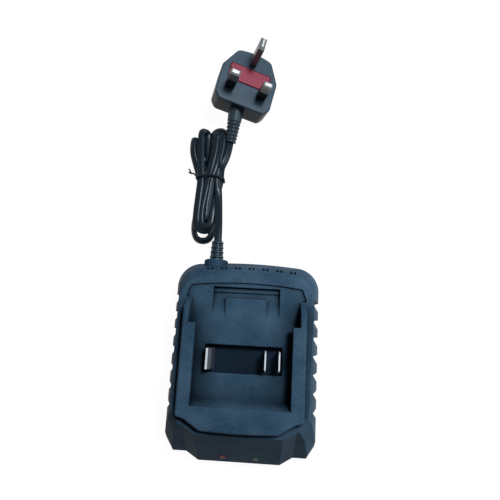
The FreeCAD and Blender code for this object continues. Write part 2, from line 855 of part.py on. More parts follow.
def make_cord_inside():
    """The cord's last stretch, through the boot and under the clamp."""
    return rod(cord_diameter / 2, V(cord_x, clamp_y - clamp_length, cord_z),
               V(cord_x, case_rear + boot_boss_proud + boot_length, cord_z))


def make_cord_clamp():
    z0 = cord_z - cord_diameter / 2
    top = cord_z + cord_diameter / 2 + clamp_height
    bar = box(cord_x - clamp_half, cord_x + clamp_half, clamp_y - clamp_length / 2,
              clamp_y + clamp_length / 2, z0, top)
    bar = bar.cut(rod(cord_diameter / 2, V(cord_x, 0, cord_z), V(cord_x, LARGE, cord_z)))
    bar = bar.cut(box(cord_x - cord_diameter / 2, cord_x + cord_diameter / 2, 0, LARGE, 0, cord_z))
    for p in clamp_screws_at():
        bar = bar.cut(Part.makeCylinder(board_screw_radius + seat_gap, LARGE, V(p.x, p.y, 0)))
    return bar


def make_clamp_screws():
    top = cord_z + cord_diameter / 2 + clamp_height
    length = small_head_height + clamp_height + cord_diameter + clamp_screw_grip
    return Part.makeCompound([screw(board_screw_radius, clamp_head_radius, small_head_height, length,
                                    V(p.x, p.y, top + small_head_height), -Z_AXIS)
                              for p in clamp_screws_at()])


def make_mains_tails():
    """Two thin insulated wires from the cord's end down to the board."""
    tails = []
    start_y = clamp_y - clamp_length
    for side in (-1, 1):
        x = cord_x + side * tail_spread
        down_x = x + side * tail_step
        points = [V(x, start_y, cord_z), V(x, start_y - tail_straight, cord_z),
                  V(down_x, board_rear - tail_in_board, cord_z),
                  V(down_x, board_rear - 2 * tail_in_board, board_top)]
        pieces = [rod(tail_radius, a, b) for a, b in zip(points, points[1:])]
        pieces += [Part.makeSphere(tail_radius, p) for p in points[1:-1]]
        tails.append(fuse_all(pieces).common(box(-LARGE, LARGE, -LARGE, LARGE, board_top, LARGE)))
    return Part.makeCompound(tails)


def on_board(x, y, width, length, height):
    """A block standing on the board, centred on x and y."""
    return box(x - width / 2, x + width / 2, y - length / 2, y + length / 2, board_top, board_top + height)


def can(x, y, radius, height):
    """An upright capacitor can, with the pressed ring near its foot."""
    body = Part.makeCylinder(radius, height, V(x, y, board_top))
    ring = Part.makeTorus(radius + output_can_ring / 2, output_can_ring,
                          V(x, y, board_top + output_can_ring_z), Z_AXIS)
    return body.cut(ring)


def make_transformer_core():
    """Ferrite core: two outer legs, a middle leg and the yokes across their ends."""
    window = core_width / 2 - core_leg / 2 - core_side
    core = on_board(transformer_x, transformer_y, core_width, core_length, core_height)
    for side in (-1, 1):
        x = transformer_x + side * (core_leg + window) / 2
        core = core.cut(on_board(x, transformer_y, window, core_length - 2 * core_yoke, LARGE))
    core.translate(V(0, 0, core_lift))
    return core


def make_transformer_coil():
    """Winding on its former, around the core's middle leg, standing on the board."""
    window = core_width / 2 - core_leg / 2 - core_side
    width = core_leg + 2 * (window - coil_gap)
    length = core_length - 2 * core_yoke - 2 * coil_gap
    coil = on_board(transformer_x, transformer_y, width, length, core_height + 2 * core_lift)
    long_edges = [e for e in coil.Edges if abs(e.Vertexes[0].Y - e.Vertexes[1].Y) > 1]
    coil = coil.makeFillet(coil_round, long_edges)
    leg = on_board(transformer_x, transformer_y, core_leg, core_length, core_height)
    leg.translate(V(0, 0, core_lift))
    return coil.cut(leg)


def make_mains_capacitor():
    """The large capacitor, lying on the board beside the terminal block."""
    z = board_top + mains_can_radius
    x = -board_half + mains_can_radius
    end = mains_can_y + mains_can_length
    body = rod(mains_can_radius, V(x, mains_can_y, z), V(x, end, z))
    groove = Part.makeTorus(mains_can_radius + can_groove_radius / 3, can_groove_radius,
                            V(x, end - can_groove_from_end, z), Y_AXIS)
    legs = []
    for side in (-1, 1):
        leg_x = x + side * lead_spread
        legs.append(rod(lead_radius, V(leg_x, end, z), V(leg_x, end + lead_out, z)))
        legs.append(rod(lead_radius, V(leg_x, end + lead_turn, z), V(leg_x, end + lead_turn, board_top)))
    return fuse_all([body.cut(groove)] + legs)


def make_output_capacitors():
    return Part.makeCompound([can(x, output_can_y, output_can_radius, output_can_height)
                              for x in (output_can_first_x, output_can_second_x)])


def make_common_mode_choke():
    """Ring core standing on edge, with its two windings as fat sleeves."""
    centre = V(choke_x, choke_y, board_top + choke_ring + choke_fat + choke_sink)
    ring = Part.makeTorus(choke_ring, choke_fat, centre, X_AXIS)
    foot = on_board(choke_x, choke_y, choke_foot_width, choke_foot_length, choke_foot_height)
    return ring.fuse(foot).removeSplitter()


def make_bridge_rectifier():
    return on_board(bridge_x, bridge_y, bridge_width, bridge_length, bridge_height)


def make_safety_capacitor():
    block = on_board(film_x, film_y, film_width, film_length, film_height)
    top = [e for e in block.Edges if min(v.Z for v in e.Vertexes) > board_top + film_height - EDGE_SLACK]
    return block.makeFillet(film_round, top)


def make_board_fuse():
    """Small round soldered fuse, upright on the board."""
    return Part.makeCylinder(board_fuse_radius, board_fuse_height, V(board_fuse_x, board_fuse_y, board_top))


def make_heat_sink():
    """Bent aluminium plate with three fins, along the right edge of the board."""
    plate = on_board(sink_x, sink_y, sink_sheet, sink_length, sink_height)
    foot = on_board(sink_x - sink_foot_width / 2, sink_y, sink_foot_width, sink_length, sink_foot_sheet)
    fins = [on_board(sink_x + sink_fin_reach / 2, sink_y + s * sink_fin_pitch, sink_fin_reach,
                     sink_fin_sheet, sink_height) for s in (-1, 0, 1)]
    return fuse_all([plate, foot] + fins)


def sink_package(y):
    """A package screwed to the heat sink's inner face, notched over the sink's foot."""
    x = sink_x - sink_sheet / 2 - package_width / 2
    body = on_board(x, y, package_width, package_length, package_height)
    notch = on_board(sink_x - sink_foot_width / 2, y, sink_foot_width + 2 * package_foot_gap,
                     package_length + 1, sink_foot_sheet)
    return body.cut(notch)


def make_chip(at, width, length, legs):
    """A small black chip with bent legs along both sides."""
    body = on_board(at.x, at.y, width, length, chip_height)
    body.translate(V(0, 0, chip_lift))
    shapes = [body]
    pitch = length / (legs + 0.5)
    for i in range(legs):
        leg_y = at.y + pitch * (i - (legs - 1) / 2)
        for side in (-1, 1):
            shapes.append(on_board(at.x + side * width / 2, leg_y, 2 * chip_leg_reach, 2 * chip_leg_half,
                                   chip_leg_height))
    return fuse_all(shapes)


def straight_arcs(points, radius):
    """A round cord along straight runs joined by tangent arcs, each as large as its runs allow."""
    edges = []
    start = points[0]
    for i in range(1, len(points) - 1):
        before = points[i] - points[i - 1]
        after = points[i + 1] - points[i]
        turn = before.getAngle(after)
        setback = arc_share * min(before.Length, after.Length)
        bend = setback / math.tan(turn / 2)
        into = V(before).normalize()
        away = V(after).normalize()
        a = points[i] - into * setback
        b = points[i] + away * setback
        inward = (away - into).normalize()
        middle = points[i] + inward * (bend / math.cos(turn / 2) - bend)
        edges.append(Part.LineSegment(start, a).toShape())
        edges.append(Part.Arc(a, middle, b).toShape())
        start = b
        print("cord arc %d: radius %.1f mm, turn %.0f degrees" % (i, bend, math.degrees(turn)))
    edges.append(Part.LineSegment(start, points[-1]).toShape())
    path = Part.Wire(edges)
    tangent = points[1] - points[0]
    section = Part.Wire([Part.Circle(points[0], tangent, radius).toShape()])
    tube = path.makePipeShell([section], True, False)
    expected = math.pi * radius ** 2 * path.Length
    print("cord run: length %.1f mm, volume %.1f of %.1f" % (path.Length, tube.Volume, expected))
    return tube


def lead_points():
    """From the charger's boot to the waist of the hank, as the cord lies in the photograph."""
    tip = V(cord_x, case_rear + boot_boss_proud + boot_length, cord_z)
    return [tip] + lead_route


def plug_lead_points():
    """From the plug's boot round to the waist of the hank."""
    return [plug_boot_tip] + plug_lead_route


def make_cord_hank():
    """Outer shape of the tied hank: narrow waist, fanned ends, bevelled upper edges."""
    corners = [V(x, y, hank_bottom) for x, y in hank_outline]
    ground = Part.Face(Part.makePolygon(corners + corners[:1]))
    side = hank_top - hank_round - hank_bottom
    shoulder = ground.OuterWire.copy()
    shoulder.translate(V(0, 0, side))
    crown = ground.makeOffset2D(-hank_round, join=2)
    crown.translate(V(0, 0, hank_top - hank_bottom))
    bevel = Part.makeLoft([shoulder, crown.Wires[0]], True, True)
    return ground.extrude(V(0, 0, side)).fuse(bevel).removeSplitter()


def make_wire_tie():
    """Thin band round the hank's waist, with its twisted tail at the left."""
    outer = box(tie_x - tie_half, tie_x + tie_half, tie_y - tie_width / 2, tie_y + tie_width / 2,
                hank_bottom - tie_thick, hank_top + tie_thick)
    inner = box(tie_x - tie_half + tie_thick, tie_x + tie_half - tie_thick, tie_y - tie_width,
                tie_y + tie_width, hank_bottom, hank_top)
    tail_start = V(tie_x - tie_half + tie_thick / 2, tie_y, tie_tail_z)
    tail = rod(tie_thick, tail_start, tail_start + V(-tie_tail, tie_tail_spread, tie_tail_rise))
    return fuse_all([outer.cut(inner), tail])


def plug_placement():
    return FreeCAD.Placement(plug_at, FreeCAD.Rotation(plug_turn, plug_roll, plug_pitch))


def placed(shape):
    """Move a shape made in the plug's own frame to where the plug lies."""
    shape.Placement = plug_placement()
    return shape


def rounded_wire(corners):
    """Closed outline through corners that are each rounded by their own radius."""
    places = [place for place, radius in corners]
    arcs = []
    for i, (place, radius) in enumerate(corners):
        back = (places[i - 1] - place).normalize()
        ahead = (places[(i + 1) % len(places)] - place).normalize()
        half_turn = (math.pi - back.getAngle(ahead)) / 2
        setback = radius * math.tan(half_turn)
        inward = (back + ahead).normalize()
        middle = place + inward * (radius / math.cos(half_turn) - radius)
        arcs.append((place + back * setback, middle, place + ahead * setback))
    edges = []
    for this, following in zip(arcs, arcs[1:] + arcs[:1]):
        edges.append(Part.Arc(*this).toShape())
        edges.append(Part.LineSegment(this[-1], following[0]).toShape())
    return Part.Wire(edges)


def plug_outline(scale, z):
    """The plug's outline: arched top, slanted shoulders, straight sides, cut bottom corners."""
    mid = (plug_top + plug_bottom) / 2
    right = [(plug_bottom_half, plug_bottom, plug_bottom_round),
             (plug_half, plug_bottom + plug_bottom_rise, plug_bottom_round),
             (plug_half, plug_shoulder, plug_shoulder_round),
             (plug_top_half, plug_top - plug_top_drop, plug_top_round)]
    left = [(-x, y, radius) for x, y, radius in reversed(right)]
    rows = right + [(0, plug_top, plug_crown_round)] + left
    return rounded_wire([(V(x * scale, mid + (y - mid) * scale, z), radius * scale)
                         for x, y, radius in rows])


def carrier_shape(gap, low, high):
    """The carrier's plate with its rounded corners, grown by a gap, between two heights."""
    plate = box(-carrier_half - gap, carrier_half + gap, carrier_v_low - gap, carrier_v_high + gap, low, high)
    corners = [e for e in plate.Edges if abs(e.Vertexes[0].Z - e.Vertexes[1].Z) > EDGE_SLACK]
    return plate.makeFillet(carrier_round, corners)


def fuse_well():
    """The pocket below the carrier's plate, for the fuse and its clips."""
    half = fuse_radius + cradle_wall + carrier_gap
    end = fuse_length / 2 + carrier_gap
    return box(-end, end, fuse_v - half, fuse_v + half, fuse_z - fuse_radius - clip_sheet - carrier_gap, 0)


def pin_box(x, y, width, thick, low, high):
    return box(x - width / 2, x + width / 2, y - thick / 2, y + thick / 2, low, high)


def make_plug_body():
    straight = Part.makeLoft([plug_outline(1.0, 0), plug_outline(1.0, -plug_side_depth)], True, True)
    back = Part.makeLoft([plug_outline(1.0, -plug_side_depth), plug_outline(plug_back_scale, -plug_depth)],
                         True, True)
    body = fuse_all([straight, back])
    rim = [e for e in body.Edges if max(v.Z for v in e.Vertexes) > -EDGE_SLACK
           and min(v.Z for v in e.Vertexes) > -EDGE_SLACK]
    body = body.makeFillet(plug_round, rim)
    table = box(-LARGE, LARGE, -LARGE, 2 * LARGE, -LARGE, plug_rest)
    table.Placement = plug_placement().inverse()
    body = cut_all(body, [table, mirrored(table)])
    pins = [pin_box(s * pin_spacing / 2, 0, pin_width - 2 * pin_core_in, pin_thick - 2 * pin_core_in,
                    -pin_root, 1) for s in (-1, 1)]
    pins.append(pin_box(0, earth_ahead, earth_width, earth_thick, -pin_root, 1))
    body = cut_all(body, pins + [carrier_shape(carrier_gap, -carrier_thick, 1), fuse_well()])
    boot = make_plug_boot()
    boot.Placement = plug_placement().inverse().multiply(boot.Placement)
    return placed(body.cut(boot).removeSplitter())


def make_mains_pin(side):
    x = side * pin_spacing / 2
    core = pin_box(x, 0, pin_width - 2 * pin_core_in, pin_thick - 2 * pin_core_in, -pin_root, pin_sleeve)
    tip = pin_box(x, 0, pin_width, pin_thick, pin_sleeve, pin_length)
    end = [e for e in tip.Edges if min(v.Z for v in e.Vertexes) > pin_length - EDGE_SLACK]
    return placed(core.fuse(tip.makeChamfer(pin_tip_bevel, end)).removeSplitter())


def make_earth_pin():
    pin = pin_box(0, earth_ahead, earth_width, earth_thick, -pin_root, earth_length)
    end = [e for e in pin.Edges if min(v.Z for v in e.Vertexes) > earth_length - EDGE_SLACK]
    return placed(pin.makeChamfer(earth_bevel, end))


def make_pin_sleeves():
    sleeves = []
    for side in (-1, 1):
        x = side * pin_spacing / 2
        outer = pin_box(x, 0, pin_width, pin_thick, 0, pin_sleeve)
        sleeves.append(outer.cut(pin_box(x, 0, pin_width - 2 * pin_core_in, pin_thick - 2 * pin_core_in,
                                         -1, pin_sleeve + 1)))
    return placed(Part.makeCompound(sleeves))


def fuse_bar(radius, half):
    return rod(radius, V(-half, fuse_v, fuse_z), V(half, fuse_v, fuse_z))


def make_fuse_carrier():
    plate = carrier_shape(0, -carrier_thick, carrier_proud)
    face = [e for e in plate.Edges if min(v.Z for v in e.Vertexes) > carrier_proud - EDGE_SLACK]
    plate = plate.makeChamfer(carrier_bevel, face)
    notch = rod(notch_half, V(-carrier_half - notch_half + notch_in, fuse_v, -carrier_thick / 2),
                V(-carrier_half - notch_half + notch_in, fuse_v, carrier_proud + 1))
    width = fuse_radius + cradle_wall
    cradle = box(-cradle_half, cradle_half, fuse_v - width, fuse_v + width,
                 fuse_z - cradle_low, -carrier_thick)
    body = fuse_all([plate.cut(notch), cradle])
    ends = fuse_bar(fuse_radius + fuse_snap, fuse_length / 2 + 1)
    ends = ends.cut(box(-cradle_half, cradle_half, 0, LARGE, -LARGE, 0))
    return placed(cut_all(body, [fuse_bar(fuse_radius, cradle_half + 1), ends]))


def make_plug_fuse():
    half = fuse_length / 2
    middle = fuse_bar(fuse_radius - fuse_cap_sheet, half - fuse_cap_sheet)
    caps = []
    for side in (-1, 1):
        x0, x1 = sorted((side * half, side * (half - fuse_cap)))
        caps.append(rod(fuse_radius, V(x0, fuse_v, fuse_z), V(x1, fuse_v, fuse_z)))
    return placed(fuse_all([middle] + caps))


def make_fuse_clips():
    """Two brass channels that grip the fuse's end caps from below."""
    clips = []
    inner = fuse_radius + clip_gap
    for side in (-1, 1):
        end = fuse_length / 2 - clip_from_end
        x0, x1 = sorted((side * end, side * (end - clip_length)))
        floor = fuse_z - inner - clip_sheet
        outer = box(x0, x1, fuse_v - inner - clip_sheet, fuse_v + inner + clip_sheet,
                    floor, fuse_z + cradle_low)
        clips.append(outer.cut(box(x0 - 1, x1 + 1, fuse_v - inner, fuse_v + inner, floor + clip_sheet, 0)))
    return placed(Part.makeCompound(clips))


def make_plug_boot():
    """Round boot that leans down from the plug: smooth at its root, ribbed at its tip."""
    root = plug_placement().multVec(V(plug_boot_u, plug_bottom + plug_boot_sink, -plug_boot_depth))
    axis = plug_boot_tip - root
    length = axis.Length
    cone = Part.makeCone(plug_boot_root_radius, plug_boot_tip_radius, length, root, axis)
    axis.normalize()
    rib_from = length * plug_boot_smooth
    pitch = (length - rib_from) / plug_boot_ribs
    for i in range(plug_boot_ribs):
        at = rib_from + pitch * i
        radius = plug_boot_root_radius + (plug_boot_tip_radius - plug_boot_root_radius) * at / length
        ring = rod(radius + 1, root + axis * at, root + axis * (at + pitch * plug_boot_groove_share))
        ring = ring.cut(rod(radius - plug_boot_rib_depth, root + axis * (at - 1), root + axis * (at + pitch)))
        cone = cone.cut(ring)
    return cone


def export(name, shape):
    shape.exportStep(os.path.join("parts", name + ".step"))
    print("%-22s solids %2d  valid %s  volume %.0f" % (
        name, len(shape.Solids), shape.isValid(), shape.Volume))


def main():
    os.makedirs("parts", exist_ok=True)
    cord_radius = cord_diameter / 2
    pieces = {
        "top_cover": make_top_cover(),
        "battery_frame": make_battery_frame(),
        "base_cover": make_base_cover(),
        "rubber_feet": make_rubber_feet(),
        "case_screws": make_case_screws(),
        "circuit_board": make_circuit_board(),
        "board_screws": make_board_screws(),
        "terminal_block": make_terminal_block(),
        "terminal_negative": make_folded_terminal(),
        "terminal_signal": make_blade(terminal_signal_x),
        "terminal_positive": make_blade(terminal_positive_x),
        "lamp_red": make_lamp(lamp_red_x),
        "lamp_green": make_lamp(lamp_green_x),
        "transformer_core": make_transformer_core(),
        "transformer_coil": make_transformer_coil(),
        "mains_capacitor": make_mains_capacitor(),
        "output_capacitors": make_output_capacitors(),
        "common_mode_choke": make_common_mode_choke(),
        "bridge_rectifier": make_bridge_rectifier(),
        "safety_capacitor": make_safety_capacitor(),
        "board_fuse": make_board_fuse(),
        "heat_sink": make_heat_sink(),
        "power_transistor": sink_package(transistor_y),
        "output_diode": sink_package(diode_y),
        "control_chip": make_chip(control_chip_at, control_chip_width, control_chip_length,
                                  control_chip_legs),
        "optocoupler": make_chip(optocoupler_at, optocoupler_width, optocoupler_length,
                                 optocoupler_legs),
        "strain_relief": make_strain_relief(),
        "cord_inside": make_cord_inside(),
        "cord_clamp": make_cord_clamp(),
        "clamp_screws": make_clamp_screws(),
        "mains_tails": make_mains_tails(),
        "cord_lead": straight_arcs(lead_points(), cord_radius),
        "cord_hank": make_cord_hank(),
        "cord_plug_lead": straight_arcs(plug_lead_points(), cord_radius),
        "wire_tie": make_wire_tie(),
        "plug_body": make_plug_body(),
        "plug_boot": make_plug_boot(),
        "plug_pin_live": make_mains_pin(1),
        "plug_pin_neutral": make_mains_pin(-1),
        "plug_pin_earth": make_earth_pin(),
        "pin_sleeves": make_pin_sleeves(),
        "fuse_carrier": make_fuse_carrier(),
        "plug_fuse": make_plug_fuse(),
        "fuse_clips": make_fuse_clips(),
    }
    for name, shape in pieces.items():
        export(name, shape)


main()
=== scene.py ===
# %% [markdown]
# A charger for slide-on battery packs, with its lead and plug
#
# The frame brings every hard piece of the charger at its real size. This lesson gives each
# of them its finish. It also models again what a plain solid can't show: the folded cord,
# its two ribbed boots and the twisted tie. Soft edges and grain are left to the finishes.

# %% Load the frame
import json
import math
import bmesh
import bpy
from mathutils import Matrix, Vector


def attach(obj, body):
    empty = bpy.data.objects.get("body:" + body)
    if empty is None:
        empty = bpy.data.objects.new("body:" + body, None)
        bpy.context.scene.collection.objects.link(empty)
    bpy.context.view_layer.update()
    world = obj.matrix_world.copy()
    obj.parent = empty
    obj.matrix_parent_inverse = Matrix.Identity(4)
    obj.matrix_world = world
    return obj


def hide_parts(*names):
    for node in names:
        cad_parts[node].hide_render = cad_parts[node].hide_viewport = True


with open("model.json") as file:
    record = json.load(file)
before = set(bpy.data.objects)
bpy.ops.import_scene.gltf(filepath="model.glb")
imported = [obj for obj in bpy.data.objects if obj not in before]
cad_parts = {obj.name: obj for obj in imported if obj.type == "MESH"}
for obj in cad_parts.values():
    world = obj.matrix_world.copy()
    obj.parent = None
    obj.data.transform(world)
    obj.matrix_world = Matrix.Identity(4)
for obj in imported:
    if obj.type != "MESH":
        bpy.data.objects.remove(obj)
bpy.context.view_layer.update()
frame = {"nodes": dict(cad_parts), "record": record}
nodes = frame["nodes"]
MM = 0.001
print("nodes in the frame:", len(nodes))

# %% [markdown]
# Camera
#
# The charger is seen almost from straight above, by a lens with a fairly wide view. A near
# camera makes the plug, which is far from the middle, lean outwards, so the camera's height
# matters as much as its angle. Three angles could be typed in, but two directions are easier
# to check against a picture: which way is right in the view, and which way is up. The third
# is square to both, and the lens follows from the width of the view at one metre.

# %% Camera
CAMERA_PLACE = (0.0096, 0.0183, 0.268)
CAMERA_RIGHT = Vector((0.9981, 0.0549, -0.0270))
CAMERA_UP = Vector((-0.0486, 0.9794, 0.1960))
SENSOR = 36.0
VIEW_WIDTH_AT_ONE_METRE = 1.25
NEAREST_SEEN = 0.01


def add_object(name, data):
    """An object for a mesh, curve, lamp or camera, linked into the scene."""
    thing = bpy.data.objects.new(name, data)
    bpy.context.collection.objects.link(thing)
    return thing


def add_camera():
    data = bpy.data.cameras.new("photo_camera")
    data.sensor_width = SENSOR
    data.lens = SENSOR / VIEW_WIDTH_AT_ONE_METRE
    data.clip_start = NEAREST_SEEN
    camera = add_object("photo_camera", data)
    right = CAMERA_RIGHT.normalized()
    back = right.cross(CAMERA_UP).normalized()
    up = back.cross(right)
    turn = Matrix((right, up, back)).transposed()
    camera.matrix_world = Matrix.Translation(CAMERA_PLACE) @ turn.to_4x4()
    bpy.context.scene.camera = camera
    print("camera lens", round(data.lens, 1), "mm, height", CAMERA_PLACE[2], "m")


add_camera()

# %% [markdown]
# The cord's route
#
# The cord is a flat oval: two cores side by side in one jacket. One spline carries its whole
# length: the lead from the charger, four turns of the tied hank, and the lead to the plug.
# A simulated cord would find folds of its own, but not those of one photograph, so its
# places are listed. They are in millimetres, and the hank has a low and a high layer.

# %% Points of the two leads, and the tie's place
LEAD = [(-21.3, 73.1, 14.0), (-21.7, 83.5, 12.6), (-22.8, 95.0, 9.2), (-23.9, 106.5, 6.9)]
PLUG_LEAD = [(-23.4, 126.0, 9.4), (-20.4, 132.6, 9.2), (-18.9, 139.4, 8.6), (-18.3, 145.9, 7.6)]
TIE_Y = 118.2
LOW = 2.8
HIGH = 8.2
print("points in the leads:", len(LEAD), "and", len(PLUG_LEAD))

# %% [markdown]
# All turns pass through the tie and fan out at both ends. Each turn is a row of plain sizes:
# where the end of its upper fold lies, the fold's half width and the heights of its two
# sides, then the same for its lower fold. Down and up are the places in the tie of the
# strands that follow the two folds, and the first strand is the lead, where it enters the
# tie. The lean, in degrees, says how far the flat cord stands up on its edge there: a turn
# that lies flatter shows a broad band of light.

# %% The four turns
FIRST_STRAND = -25.2
TURNS = [
    dict(top=(-27.2, 156.2), top_half=5.4, top_z=(HIGH, LOW), down=(-34.0, LOW), lean=50,
         low=(-33.2, 75.6), low_half=6.6, low_z=(LOW, LOW), up=(-30.8, LOW)),
    dict(top=(-36.8, 154.4), top_half=2.0, top_z=(LOW, HIGH), down=(-36.6, HIGH), lean=8,
         low=(-32.8, 82.4), low_half=4.9, low_z=(HIGH, LOW), up=(-27.2, LOW)),
    dict(top=(-42.9, 148.4), top_half=1.5, top_z=(LOW, 7.4), down=(-37.8, LOW), lean=40,
         low=(-32.2, 88.6), low_half=1.9, low_z=(LOW, HIGH), up=(-28.4, HIGH)),
    dict(top=(-26.2, 151.4), top_half=2.3, top_z=(HIGH, HIGH), down=(-32.0, HIGH), lean=10,
         low=(-31.0, 84.6), low_half=4.0, low_z=(HIGH, HIGH), up=(-24.0, LOW)),
]
print("turns in the hank:", len(TURNS))

# %% [markdown]
# Six points draw a fold: two down each side and two near its end. The sides run on past the
# bend, so that two strands leave it side by side. The cord changes its height over the end
# of the fold, and one more point halfway to the tie keeps each strand straight.

# %% Points of one fold
SIDE_RUN = 9.0
SHOULDER = 0.9
END_SPREAD = 0.55
CLIMB = (0.25, 0.75)


def fold(middle, half, away, heights):
    """Points in along one side, round the end and out; away is 1 for an upper fold, else -1."""
    x, end = middle
    z_in, z_out = heights
    side = away * half
    inner_y = end - away * (half + SIDE_RUN)
    shoulder_y = end - away * half * SHOULDER
    return [(x + side, inner_y, z_in),
            (x + side, shoulder_y, z_in),
            (x + side * END_SPREAD, end, z_in + CLIMB[0] * (z_out - z_in)),
            (x - side * END_SPREAD, end, z_in + CLIMB[1] * (z_out - z_in)),
            (x - side, shoulder_y, z_out),
            (x - side, inner_y, z_out)]


print("points in a fold:", len(fold((0, 0), 1.0, 1, (LOW, HIGH))))

# %% The whole hank, worked out by a loop


def halfway(a, b):
    return tuple(p + (q - p) / 2 for p, q in zip(a, b))


def hank_points():
    """Points of all the turns, and the lean at each of them."""
    points = [(FIRST_STRAND, TIE_Y, HIGH)]
    leans = [TURNS[0]["lean"]]
    for turn in TURNS:
        for end, away, strand in (("top", 1, "down"), ("low", -1, "up")):
            bend = fold(turn[end], turn[end + "_half"], away, turn[end + "_z"])
            x, height = turn[strand]
            in_tie = (x, TIE_Y, height)
            points += [halfway(points[-1], bend[0])] + bend + [halfway(bend[-1], in_tie), in_tie]
        leans += [turn["lean"]] * (len(points) - len(leans))
    return points, leans


hank, hank_leans = hank_points()
print("points in the hank:", len(hank))

# %% [markdown]
# The cord's section
#
# A curve's own bevel is round, and a flat cord would look like a hose with it. So the oval
# is drawn once, as a closed outline of its own, and the spline sweeps it. Its sides are a
# little squarer than an ellipse's, as two cores in one jacket make them.

# %% Flat oval
CORD_WIDTH = 5.2
CORD_THICK = 2.9
OVAL_SQUARENESS = 0.8
OVAL_STEPS = 24


def oval_outline(name, width, thick):
    """Closed flat oval, for a curve's bevel."""
    data = bpy.data.curves.new(name, "CURVE")
    data.dimensions = "2D"
    spline = data.splines.new("POLY")
    spline.points.add(OVAL_STEPS - 1)
    for i, place in enumerate(spline.points):
        angle = math.tau * i / OVAL_STEPS
        across = math.copysign(abs(math.cos(angle)) ** OVAL_SQUARENESS, math.cos(angle))
        x, y = width / 2 * across, thick / 2 * math.sin(angle)
        place.co = (x * MM, y * MM, 0, 1)
    spline.use_cyclic_u = True
    outline = add_object(name, data)
    outline.hide_render = True
    outline.hide_viewport = True
    return outline


cord_section = oval_outline("cord_section", CORD_WIDTH, CORD_THICK)
print("cord section:", CORD_WIDTH, "x", CORD_THICK, "mm")

# %% [markdown]
# The cord on its spline
#
# With its twist counted from straight up, the oval lies flat wherever the lean is 0, as it
# does where it leaves the charger. The order and the end rule are set after the points are
# in, or the spline would stay a chain of straight runs.

# %% Sweep the cord
LEAD_LEAN = 0
PLUG_LEAD_LEAN = 40


def add_cord():
    route = LEAD + hank + PLUG_LEAD
    leans = [LEAD_LEAN] * len(LEAD) + hank_leans + [PLUG_LEAD_LEAN] * len(PLUG_LEAD)
    data = bpy.data.curves.new("mains_cord", "CURVE")
    data.dimensions = "3D"
    data.twist_mode = "Z_UP"
    spline = data.splines.new("NURBS")
    spline.points.add(len(route) - 1)
    for place, point, lean in zip(spline.points, route, leans):
        place.co = tuple(c * MM for c in point) + (1.0,)
        place.tilt = math.radians(lean)
    spline.order_u = 3
    spline.use_endpoint_u = True
    spline.resolution_u = 8
    data.bevel_mode = "OBJECT"
    data.bevel_object = cord_section
    data.use_fill_caps = True
    return add_object("mains_cord", data), spline.calc_length()


mains_cord, cord_length = add_cord()
print("cord length", round(cord_length, 3), "m")

# %% [markdown]
# Floor and background
#
# The photograph has a white ground. A floor that is lit until it is white would light the
# charger from below and wash out its dark walls. So this floor looks white to the camera
# and in mirrors through a glow of its own, sends little light back to the charger, and
# still takes its shadow. The sky is white and dim in the same way.

# %% A value that tells who looks


def feed(tree, socket, term):
    """Give a socket a number, or a link from another node's output."""
    if isinstance(term, float):
        socket.default_value = term
    else:
        tree.links.new(term, socket)


def maths(tree, kind, *terms):
    """A Math node's result; each term is a number or another node's output."""
    node = tree.nodes.new("ShaderNodeMath")
    node.operation = kind
    for place, term in zip(node.inputs, terms):
        feed(tree, place, term)
    return node.outputs[0]


def seen_directly(tree):
    """A value that is 1 for camera, mirror and glass rays and 0 for the light itself."""
    path = tree.nodes.new("ShaderNodeLightPath").outputs
    seen = maths(tree, "MAXIMUM", path["Is Camera Ray"], path["Is Glossy Ray"])
    return maths(tree, "MAXIMUM", seen, path["Is Transmission Ray"])


print("rays that see the stage as white: camera, glossy, transmission")

# %% White floor
FLOOR_SIZE = 4.0
FLOOR_BOUNCE = 0.05
FLOOR_GLOW = 0.97


def floor_material():
    material = bpy.data.materials.new("white_floor")
    material.use_nodes = True
    tree = material.node_tree
    tree.nodes.clear()
    out = tree.nodes.new("ShaderNodeOutputMaterial")
    diffuse = tree.nodes.new("ShaderNodeBsdfDiffuse")
    diffuse.inputs["Color"].default_value = (FLOOR_BOUNCE, FLOOR_BOUNCE, FLOOR_BOUNCE, 1)
    glow = tree.nodes.new("ShaderNodeEmission")
    feed(tree, glow.inputs["Strength"], maths(tree, "MULTIPLY", seen_directly(tree), FLOOR_GLOW))
    both = tree.nodes.new("ShaderNodeAddShader")
    tree.links.new(diffuse.outputs[0], both.inputs[0])
    tree.links.new(glow.outputs[0], both.inputs[1])
    tree.links.new(both.outputs[0], out.inputs["Surface"])
    return material


def add_floor():
    mesh = bpy.data.meshes.new("floor")
    shape = bmesh.new()
    bmesh.ops.create_grid(shape, x_segments=1, y_segments=1, size=FLOOR_SIZE / 2)
    shape.to_mesh(mesh)
    shape.free()
    mesh.materials.append(floor_material())
    floor = add_object("floor", mesh)


add_floor()
print("floor:", FLOOR_SIZE, "m wide")

# %% White sky
SKY_LEVEL = 0.03


def remap(tree, value, low, high, low_result=0.0, high_result=1.0):
    """Map a value from one span to another, and hold it at both ends."""
    node = tree.nodes.new("ShaderNodeMapRange")
    terms = {"Value": value, "From Min": low, "From Max": high, "To Min": low_result,
             "To Max": high_result}
    for label, term in terms.items():
        feed(tree, node.inputs[label], term)
    return node.outputs[0]


def add_sky():
    world = bpy.data.worlds.new("studio")
    world.use_nodes = True
    tree = world.node_tree
    tree.nodes.clear()
    out = tree.nodes.new("ShaderNodeOutputWorld")
    sky = tree.nodes.new("ShaderNodeBackground")
    sky.inputs["Color"].default_value = (1, 1, 1, 1)
    feed(tree, sky.inputs["Strength"], remap(tree, seen_directly(tree), 0.0, 1.0, SKY_LEVEL, 1.0))
    tree.links.new(sky.outputs[0], out.inputs["Surface"])
    bpy.context.scene.world = world


add_sky()
print("sky level for light:", SKY_LEVEL)

